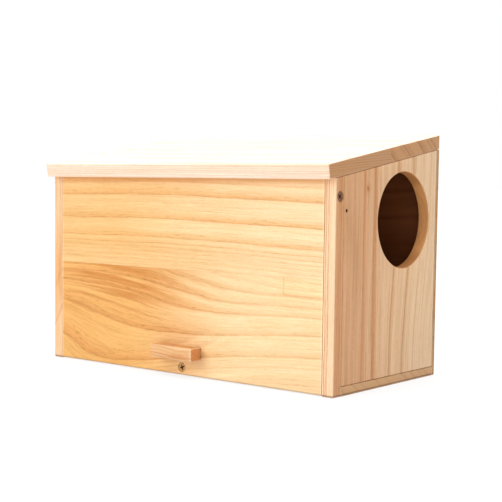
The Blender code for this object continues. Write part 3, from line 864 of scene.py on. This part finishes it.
def right_end_tone(graph, colour, place, ring):
    """Browner along the front, paler at the back, orange round the entrance and at a small knot, with a
    painted highlight on the front edge and painted shade in the bored holes.
    """
    along, across, _ = place
    colour = graph.mix(graph.ramp_between(across, *FRONT_FADE), colour, FRONT_COLOUR)
    colour = graph.mix(graph.ramp_between(across, *REAR_FADE), colour, REAR_COLOUR)
    stripes = graph.add(*(graph.hill(across, centre, width) for centre, width in STRIPES))
    colour = graph.mix(graph.times(stripes, STRIPE_STRENGTH), colour, STRIPE_COLOUR)
    shade = oval(graph, graph.add(across, graph.times(along, SHADE_LEAN)), along, *SHADE)
    colour = graph.mix(graph.times(shade, SHADE_STRENGTH), colour, SHADE_COLOUR)
    knot = oval(graph, across, along, KNOT_PLACE, KNOT_RING)
    colour = graph.mix(graph.times(knot, KNOT_RING_STRENGTH), colour, KNOT_RING_COLOUR)
    core = oval(graph, across, along, KNOT_PLACE, KNOT_CORE)
    colour = graph.mix(graph.times(core, KNOT_CORE_STRENGTH), colour, KNOT_CORE_COLOUR)
    colour = graph.mix(graph.times(sawn_wall(graph, place), WALL_STRENGTH), colour, WALL_COLOUR)
    # Painted highlight: the forward-facing front edge made paler
    forward = graph.ramp_between(graph.facing(AXIS_Y), *FORWARD_FACE)
    front_highlight = graph.times(forward, graph.ramp_between(across, *FRONT_HIGHLIGHT_SPAN))
    colour = graph.mix(graph.times(front_highlight, FRONT_HIGHLIGHT_STRENGTH), colour, FRONT_HIGHLIGHT_COLOUR)
    # Painted shade in the bored holes and round the pivot screw
    return graph.mix(bore_and_ring_shade(graph, place), colour, BORE_SHADE_COLOUR)


def right_end_wood(box):
    """The rings lean forward towards the foot, and fade out on the entrance's wall."""
    graph = Graph("right_end_wood")
    place = board_place(graph, AXIS_Z, AXIS_Y, AXIS_X)
    along, across, through = place
    behind = graph.ramp_between(across, *RIGHT_LEAN_FADE)
    leaning = graph.times(behind, graph.ramp_between(along, *RIGHT_LEAN))
    ring = graph.add(across, leaning, graph.times(through, RIGHT_THROUGH), RIGHT_RING_START)
    figure = graph.minus(1.0, graph.times(sawn_wall(graph, place), WALL_HIDES_FIGURE))
    figure = graph.times(figure, graph.ramp_between(across, *RIGHT_FIGURE))
    return wood(
        graph, place, ring, RIGHT_END_RINGS, DEPTH_SPAN, END_LOOK, AXIS_Z, box, right_end_tone,
        figure=figure,
    )


def left_end_tone(graph, colour, place, ring):
    """Orange half-way up the front edge, where two scarf joints cross the board."""
    along, across, through = place
    slanted = graph.minus(along, graph.times(through, SCARF_SLOPE))
    glow = graph.times(graph.hill(slanted, *SCARF_GLOW), graph.ramp_between(across, *SCARF_GLOW_FADE))
    colour = graph.mix(glow, colour, SCARF_GLOW_COLOUR)
    seams = graph.add(*(graph.hill(slanted, centre, width) for centre, width in SCARF_SEAMS))
    seams = graph.times(seams, graph.ramp_between(graph.facing(AXIS_Y), *FORWARD_FACE))
    return graph.mix(graph.times(seams, SCARF_SEAM_STRENGTH), colour, SCARF_SEAM_COLOUR)


def left_end_wood(box):
    graph = Graph("left_end_wood")
    place = board_place(graph, AXIS_Z, AXIS_Y, AXIS_X)
    along, across, through = place
    ring = graph.add(across, lean(graph, along, through, LEFT_SLOPES), LEFT_RING_START)
    return wood(graph, place, ring, LEFT_END_RINGS, DEPTH_SPAN, END_LOOK, AXIS_Z, box, left_end_tone)


def roof_wood(name, box, rings, spacing, slant):
    """Slant is how far the rings lie over: the higher, the flatter they lie in the board."""
    graph = Graph(name)
    place = board_place(graph, AXIS_X, AXIS_Y, AXIS_Z, ROOF_SLOPE)
    along, across, through = place
    depth = graph.minus(through, box[0][AXIS_Z])
    leaning = lean(graph, along, depth, (ROOF_ALONG, slant))
    ring = graph.add(graph.times(across, spacing), bow(graph, along, ROOF_BOW), leaning)
    return wood(graph, place, ring, rings, ROOF_SPAN, ROOF_LOOK, AXIS_X, box)


def floor_wood(box):
    graph = Graph("floor_wood")
    place = board_place(graph, AXIS_X, AXIS_Y, AXIS_Z)
    along, across, through = place
    ring = graph.add(across, lean(graph, along, through, FLOOR_SLOPES))
    return wood(graph, place, ring, FLOOR_RINGS, DEPTH_SPAN, FLOOR_LOOK, AXIS_X, box)


def ply_layers(graph, colour, place, ring):
    """The edge of the ply: a pale core between two face veneers."""
    core = graph.hill(place[2], *PLY_CORE)
    on_edge = graph.ramp_between(graph.math("ABSOLUTE", graph.facing(AXIS_Y)), *PLY_EDGE)
    return graph.mix(graph.times(core, on_edge), colour, PLY_COLOUR)


def back_wood(box):
    """Ply, darkened with painted shade on the face that looks into the nest."""
    graph = Graph("back_wood")
    place = board_place(graph, AXIS_X, AXIS_Z, AXIS_Y)
    along, across, _ = place
    ring = graph.add(across, bow(graph, along, BACK_BOW))
    inward = graph.ramp_between(graph.facing(AXIS_Y), *INWARD_FACE)
    return wood(graph, place, ring, BACK_RINGS, BACK_SPAN, BACK_LOOK, AXIS_X, box, ply_layers, inward)


def handle_tone(graph, colour, place, ring):
    """A brown figure low on the front, a pale corner, and a browner top of painted shade."""
    along, across, _ = place
    figure = graph.times(oval(graph, along, across, *HANDLE_FIGURE), HANDLE_FIGURE_STRENGTH)
    colour = graph.mix(figure, colour, HANDLE_FIGURE_COLOUR)
    corner = graph.times(graph.ramp_between(along, *HANDLE_CORNER), HANDLE_CORNER_STRENGTH)
    colour = graph.mix(corner, colour, HANDLE_CORNER_COLOUR)
    # Painted shade: the upward-facing top made browner
    top = graph.times(graph.ramp_between(graph.facing(AXIS_Z), *UPWARD_FACE), HANDLE_TOP_SHADE_STRENGTH)
    return graph.mix(top, colour, HANDLE_TOP_SHADE_COLOUR)


def handle_wood(box):
    graph = Graph("handle_wood")
    place = board_place(graph, AXIS_X, AXIS_Z, AXIS_Y)
    along, across, through = place
    leaning = lean(graph, along, through, HANDLE_SLOPES)
    ring = graph.add(across, leaning, bow(graph, along, HANDLE_BOW), HANDLE_RING_START)
    return wood(graph, place, ring, HANDLE_RINGS, HANDLE_SPAN, HANDLE_LOOK, AXIS_X, box, handle_tone)


# Metals ---------------------------------------------------------------------

METAL_DETAIL = 4
METAL_CLOUD_ROUGH = 0.6
METAL_CLOUDS_ROUGHEN = 0.3
SCREW_CLOUDS = (1.0, (0.35, 0.65), 0.34)
NAIL_CLOUDS = (0.5, (0.4, 0.7), 0.38)
# Each metal is its bright colour, its dull colour, and how metallic it is
YELLOW_ZINC = (srgb(214, 166, 104), srgb(158, 112, 66), 0.6)
# A duller zinc for the pivot screws, also darkened as painted shade of the counterbores they sit in
DULL_SHADED_ZINC = (srgb(178, 128, 98), srgb(112, 70, 48), 0.45)
# Painted shade for the deep cross recesses of the screws
RECESS_SHADE = (srgb(44, 28, 16), srgb(30, 18, 10), 0.2)
RUSTY_STEEL = (srgb(150, 146, 140), srgb(120, 92, 68), 1.0)


def clouded_metal(name, metal, clouds):
    """Metal gone dull in clouds. The clouds are their size in millimetres, edge and roughness."""
    bright, dull, metallic = metal
    size, edge, roughness = clouds
    graph = Graph(name)
    place = graph.scaled(graph.coords.outputs["Object"], 1 / (size * MM))
    cloud = graph.noise(place, METAL_DETAIL, METAL_CLOUD_ROUGH)
    colour = graph.mix(graph.ramp_between(cloud, *edge), bright, dull)
    rough = graph.add(roughness, graph.times(cloud, METAL_CLOUDS_ROUGHEN))
    finish_surface(graph, colour, rough, cloud, METAL_BUMP, metallic)
    return graph.owner


# Pieces ---------------------------------------------------------------------

def close_glued_face(mesh, axis, plane, tilt):
    """Squares the edge of a board up to the glue line, so that two glued boards meet as one."""
    mesh.transform(Matrix.Rotation(-tilt, 4, "X"))
    for side in range(3):
        lowest = min(v.co[side] for v in mesh.verts)
        highest = max(v.co[side] for v in mesh.verts)
        for vertex in mesh.verts:
            if abs(vertex.co[axis] - plane) > CAD_EASE_REACH or side == axis:
                continue
            if vertex.co[side] - lowest < CAD_EASE_REACH:
                vertex.co[side] = lowest
            if highest - vertex.co[side] < CAD_EASE_REACH:
                vertex.co[side] = highest
    for vertex in mesh.verts:
        if abs(vertex.co[axis] - plane) < CAD_EASE_REACH:
            vertex.co[axis] = plane
    mesh.transform(Matrix.Rotation(tilt, 4, "X"))
    bmesh.ops.remove_doubles(mesh, verts=mesh.verts, dist=WELD_DISTANCE)


def widen(mesh, extra):
    """Moves both ends of a board outwards along X."""
    reach = max(v.co.x for v in mesh.verts) - BOARD_END_REACH
    for vertex in mesh.verts:
        if abs(vertex.co.x) > reach:
            vertex.co.x += math.copysign(extra, vertex.co.x)


def is_arris(edge):
    return len(edge.link_faces) == 2 and edge.calc_face_angle() > ARRIS_ANGLE


def eased_board(node, body, material, glued=None, extra=0.0):
    """A board with its arrises rounded, in place of the plain CAD board."""
    mesh = bmesh.new()
    mesh.from_mesh(frame["nodes"][node].data)
    bmesh.ops.remove_doubles(mesh, verts=mesh.verts, dist=WELD_DISTANCE)
    if glued is not None:
        close_glued_face(mesh, *glued)
    widen(mesh, extra)
    bmesh.ops.dissolve_limit(mesh, angle_limit=FLAT_ANGLE, verts=mesh.verts, edges=mesh.edges)
    arrises = [edge for edge in mesh.edges if is_arris(edge)]
    bmesh.ops.bevel(
        mesh, geom=arrises, offset=EDGE_ROUND, segments=2, profile=0.5, affect="EDGES", clamp_overlap=True
    )
    return add_piece(mesh, f"{node}_finished", body, material, node)


def add_piece(mesh, name, body, material, stands_for):
    """Makes a finished mesh into a piece that rides a body in place of a CAD node."""
    data = bpy.data.meshes.new(name)
    mesh.normal_update()
    mesh.to_mesh(data)
    mesh.free()
    for face in data.polygons:
        face.use_smooth = True
    data.set_sharp_from_angle(angle=SMOOTH_ANGLE)
    piece = bpy.data.objects.new(name, data)
    bpy.context.scene.collection.objects.link(piece)
    data.materials.append(material)
    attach(piece, body)
    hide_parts(stands_for)
    return piece


def roof_joint_place():
    """How far up the slope the two roof boards meet."""
    front = frame["nodes"]["roof_front_board"].data
    rear = frame["nodes"]["roof_rear_board"].data
    cosine, sine = math.cos(ROOF_SLOPE), math.sin(ROOF_SLOPE)
    front_edge = max(v.co.y * cosine + v.co.z * sine for v in front.vertices)
    rear_edge = min(v.co.y * cosine + v.co.z * sine for v in rear.vertices)
    return (front_edge + rear_edge) / 2


def recess_depth(x, y, size):
    """How deep the cross recess is at a point of a screw's head, where size is the head's radius."""
    width = RECESS_ARM_WIDTH * size
    length = RECESS_ARM_LENGTH * size
    one = max(abs(x) / width, abs(y) / length)
    other = max(abs(y) / width, abs(x) / length)
    wall = min(1.0, max(0.0, (RECESS_RIM - min(one, other)) / RECESS_WALL))
    return wall * (RECESS_DEPTH * size - RECESS_SLOPE * math.hypot(x, y))


def circle_point(radius, step):
    """One of a screw's points round its axis."""
    angle = TAU * step / SCREW_SIDES
    return radius * math.cos(angle), radius * math.sin(angle)


def thread_height(depth, step):
    """How far the helical thread stands out of the shank, at a depth and a step round it."""
    phase = (depth / THREAD_PITCH - step / SCREW_SIDES) % 1.0
    ridge = max(0.0, 1 - abs(phase - 0.5) * THREAD_SHARPNESS)
    return (THREAD_CREST - SHANK_CORE) * ridge


def head_loops(mesh, size):
    """Loops of vertices from the head's middle outwards, sunk into the cross recess."""
    loops = []
    for row in range(1, HEAD_ROWS + 1):
        radius = size * HEAD_FLAT_SHARE * row / HEAD_ROWS
        loop = []
        for step in range(SCREW_SIDES):
            x, y = circle_point(radius, step)
            loop.append(mesh.verts.new((x, y, -recess_depth(x, y, size) - HEAD_DROP)))
        loops.append(loop)
    return loops


def plain_loop(mesh, radius, depth):
    return [mesh.verts.new((*circle_point(radius, step), -depth)) for step in range(SCREW_SIDES)]


def shank_loops(mesh, length):
    """Loops of vertices down the threaded shank, which tapers to the tip."""
    loops = []
    depth = THREAD_START
    while depth < length - TIP_ROOM:
        taper = max(TIP_SHARE, min(1.0, (length - depth) / TIP_LENGTH))
        loop = []
        for step in range(SCREW_SIDES):
            radius = taper * (SHANK_CORE + thread_height(depth, step))
            loop.append(mesh.verts.new((*circle_point(radius, step), -depth)))
        loops.append(loop)
        depth += THREAD_PITCH / THREAD_ROWS
    return loops


def screw_mesh(size, length):
    """A countersunk cross-head wood screw, its head in the plane of X and Y and its tip down Z."""
    mesh = bmesh.new()
    centre = mesh.verts.new((0, 0, -recess_depth(0, 0, size)))
    loops = head_loops(mesh, size)
    loops += [plain_loop(mesh, size * share, depth) for share, depth in NECK_ROWS]
    loops.append(plain_loop(mesh, SHANK_CORE, CORE_START))
    loops += shank_loops(mesh, length)
    tip = mesh.verts.new((0, 0, -length))
    for step in range(SCREW_SIDES):
        after = (step + 1) % SCREW_SIDES
        mesh.faces.new((centre, loops[0][step], loops[0][after]))
        mesh.faces.new((tip, loops[-1][after], loops[-1][step]))
        for upper, lower in zip(loops, loops[1:]):
            mesh.faces.new((upper[step], lower[step], lower[after], upper[after]))
    # The faces deep in the cross recess take the second material, painted shade
    for face in mesh.faces:
        middle = face.calc_center_median()
        if middle.length < size and recess_depth(middle.x, middle.y, size) > RECESS_DARK_DEPTH * size:
            face.material_index = 1
    return mesh


def make_screw(node, driven, material, recess, turned):
    """A screw with a helical thread, in place of the plain CAD screw. Driven is where it points."""
    low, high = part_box(node)
    driven = Vector(driven)
    length = abs((high - low).dot(driven))
    side = next(axis for axis in range(3) if abs(driven[axis]) < 0.5)
    mesh = screw_mesh((high[side] - low[side]) / 2, length)
    head = (low + high) / 2 - driven * length / 2
    stand = (-driven).to_track_quat("Z", "Y").to_matrix().to_4x4()
    mesh.transform(Matrix.Translation(head) @ stand @ Matrix.Rotation(turned, 4, "Z"))
    piece = add_piece(mesh, f"{node}_finished", BODY_OF[node], material, node)
    piece.data.materials.append(recess)
    return piece


def paint(node, material):
    """Gives a CAD node its material."""
    data = frame["nodes"][node].data
    data.materials.clear()
    data.materials.append(material)


def dress(node, material, glued=None, extra=0.0):
    return eased_board(node, BODY_OF[node], material, glued, extra)


def dress_door():
    joint = (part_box("door_upper_board")[0].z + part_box("door_lower_board")[1].z) / 2
    glue = (AXIS_Z, joint, 0.0)
    box = board_box(("door_upper_board", "door_lower_board"))
    dress("door_upper_board", upper_door_wood(box), glue, DOOR_EXTRA)
    dress("door_lower_board", lower_door_wood(box), glue, DOOR_EXTRA)


def dress_roof():
    glue = (AXIS_Y, roof_joint_place(), ROOF_SLOPE)
    box = board_box(("roof_front_board", "roof_rear_board"), ROOF_SLOPE)
    front = roof_wood("roof_front_wood", box, ROOF_FRONT_RINGS, ROOF_FRONT_SPACING, ROOF_FRONT_SLANT)
    rear = roof_wood("roof_rear_wood", box, ROOF_REAR_RINGS, ROOF_REAR_SPACING, ROOF_REAR_SLANT)
    dress("roof_front_board", front, glue)
    dress("roof_rear_board", rear, glue)


def dress_boards():
    dress_door()
    dress("right_end_panel", right_end_wood(board_box(("right_end_panel",))))
    dress("left_end_panel", left_end_wood(board_box(("left_end_panel",))))
    dress_roof()
    dress("floor_board", floor_wood(board_box(("floor_board",))))
    dress("back_panel", back_wood(board_box(("back_panel",))))
    dress("door_handle", handle_wood(board_box(("door_handle",))))


def make_fasteners():
    """The screws are built again, and the pins and nails are the CAD's own."""
    screw = clouded_metal("screw_yellow_zinc", YELLOW_ZINC, SCREW_CLOUDS)
    # The pivot screws' zinc is duller, and darker as painted shade
    pivot = clouded_metal("screw_dull_shaded_zinc", DULL_SHADED_ZINC, SCREW_CLOUDS)
    # Painted shade in the screws' cross recesses
    recess = clouded_metal("screw_recess_shade", RECESS_SHADE, SCREW_CLOUDS)
    make_screw("door_lock_screw", (0, 1, 0), screw, recess, LOCK_SCREW_TURN)
    make_screw("right_pivot_screw", (-1, 0, 0), pivot, recess, RIGHT_PIVOT_TURN)
    make_screw("left_pivot_screw", (1, 0, 0), pivot, recess, LEFT_PIVOT_TURN)
    make_screw("handle_screw_left", (0, -1, 0), screw, recess, LEFT_HANDLE_TURN)
    make_screw("handle_screw_right", (0, -1, 0), screw, recess, RIGHT_HANDLE_TURN)
    steel = clouded_metal("pin_metal", RUSTY_STEEL, NAIL_CLOUDS)
    for name in frame["nodes"]:
        if "pin" in name or "nail" in name:
            paint(name, steel)


# Studio ---------------------------------------------------------------------

def make_camera():
    yaw, pitch, roll = (math.radians(a) for a in (CAMERA_YAW, CAMERA_PITCH, CAMERA_ROLL))
    ahead = Vector((math.sin(yaw) * math.cos(pitch), math.cos(yaw) * math.cos(pitch), math.sin(pitch)))
    level = Vector((math.cos(yaw), -math.sin(yaw), 0))
    above = level.cross(ahead)
    right = math.cos(roll) * level + math.sin(roll) * above
    up = math.cos(roll) * above - math.sin(roll) * level
    data = bpy.data.cameras.new("camera")
    data.sensor_width = CAMERA_SENSOR
    data.lens = CAMERA_LENS
    data.shift_y = CAMERA_SHIFT_UP
    camera = bpy.data.objects.new("camera", data)
    turn = Matrix((right, up, -ahead)).transposed().to_4x4()
    camera.matrix_world = Matrix.Translation(CAMERA_PLACE) @ turn
    bpy.context.scene.collection.objects.link(camera)
    bpy.context.scene.camera = camera


def make_sun(name, towards, level, spread):
    data = bpy.data.lights.new(name, "SUN")
    data.energy = level * math.pi
    data.angle = math.radians(spread)
    sun = bpy.data.objects.new(name, data)
    sun.rotation_mode = "QUATERNION"
    sun.rotation_quaternion = Vector(towards).to_track_quat("-Z", "Y")
    bpy.context.scene.collection.objects.link(sun)


def background(graph, strength):
    node = graph.node("ShaderNodeBackground")
    graph.feed(node.inputs["Color"], WHITE)
    graph.feed(node.inputs["Strength"], strength)
    return node.outputs[0]


def make_sky():
    """White where the camera sees it. As a light it is dim, and bright behind the box."""
    graph = Graph("studio", "worlds")
    towards = graph.node("ShaderNodeVectorMath", operation="DOT_PRODUCT")
    graph.feed(towards.inputs[0], graph.coords.outputs["Generated"])
    graph.feed(towards.inputs[1], BACKDROP_TOWARDS)
    behind = towards.outputs["Value"]
    light = graph.ramp_between(behind, BACKDROP_EDGE, 1.0, SKY_LIGHT, BACKDROP_LIGHT)
    choose = graph.node("ShaderNodeMixShader")
    graph.feed(choose.inputs[0], graph.node("ShaderNodeLightPath").outputs["Is Camera Ray"])
    graph.feed(choose.inputs[1], background(graph, light))
    graph.feed(choose.inputs[2], background(graph, 1.0))
    output = graph.node("ShaderNodeOutputWorld")
    graph.feed(output.inputs["Surface"], choose.outputs[0])
    bpy.context.scene.world = graph.owner


def make_floor():
    graph = Graph("studio_floor")
    shader = graph.node("ShaderNodeBsdfPrincipled")
    shader.inputs["Base Color"].default_value = (FLOOR_ALBEDO, FLOOR_ALBEDO, FLOOR_ALBEDO, 1)
    shader.inputs["Roughness"].default_value = FLOOR_ROUGHNESS
    shader.inputs["Specular IOR Level"].default_value = 0.0
    shader.inputs["Emission Color"].default_value = WHITE
    shader.inputs["Emission Strength"].default_value = FLOOR_GLOW
    output = graph.node("ShaderNodeOutputMaterial")
    graph.feed(output.inputs["Surface"], shader.outputs[0])
    mesh = bmesh.new()
    bmesh.ops.create_grid(mesh, x_segments=FLOOR_CELLS, y_segments=FLOOR_CELLS, size=FLOOR_HALF_SIZE)
    data = bpy.data.meshes.new("studio_floor")
    mesh.to_mesh(data)
    mesh.free()
    data.materials.append(graph.owner)
    floor = bpy.data.objects.new("studio_floor", data)
    floor.location.z = -FLOOR_DROP
    bpy.context.scene.collection.objects.link(floor)


def make_studio():
    bpy.context.scene.view_settings.view_transform = "Standard"
    make_camera()
    make_sky()
    make_floor()
    make_sun("overhead", OVERHEAD_TOWARDS, OVERHEAD_LIGHT, OVERHEAD_SPREAD)
    make_sun("front", FRONT_TOWARDS, FRONT_LIGHT, FRONT_SPREAD)
    make_sun("fill", FILL_TOWARDS, FILL_LIGHT, FILL_SPREAD)


make_studio()
dress_boards()
make_fasteners()
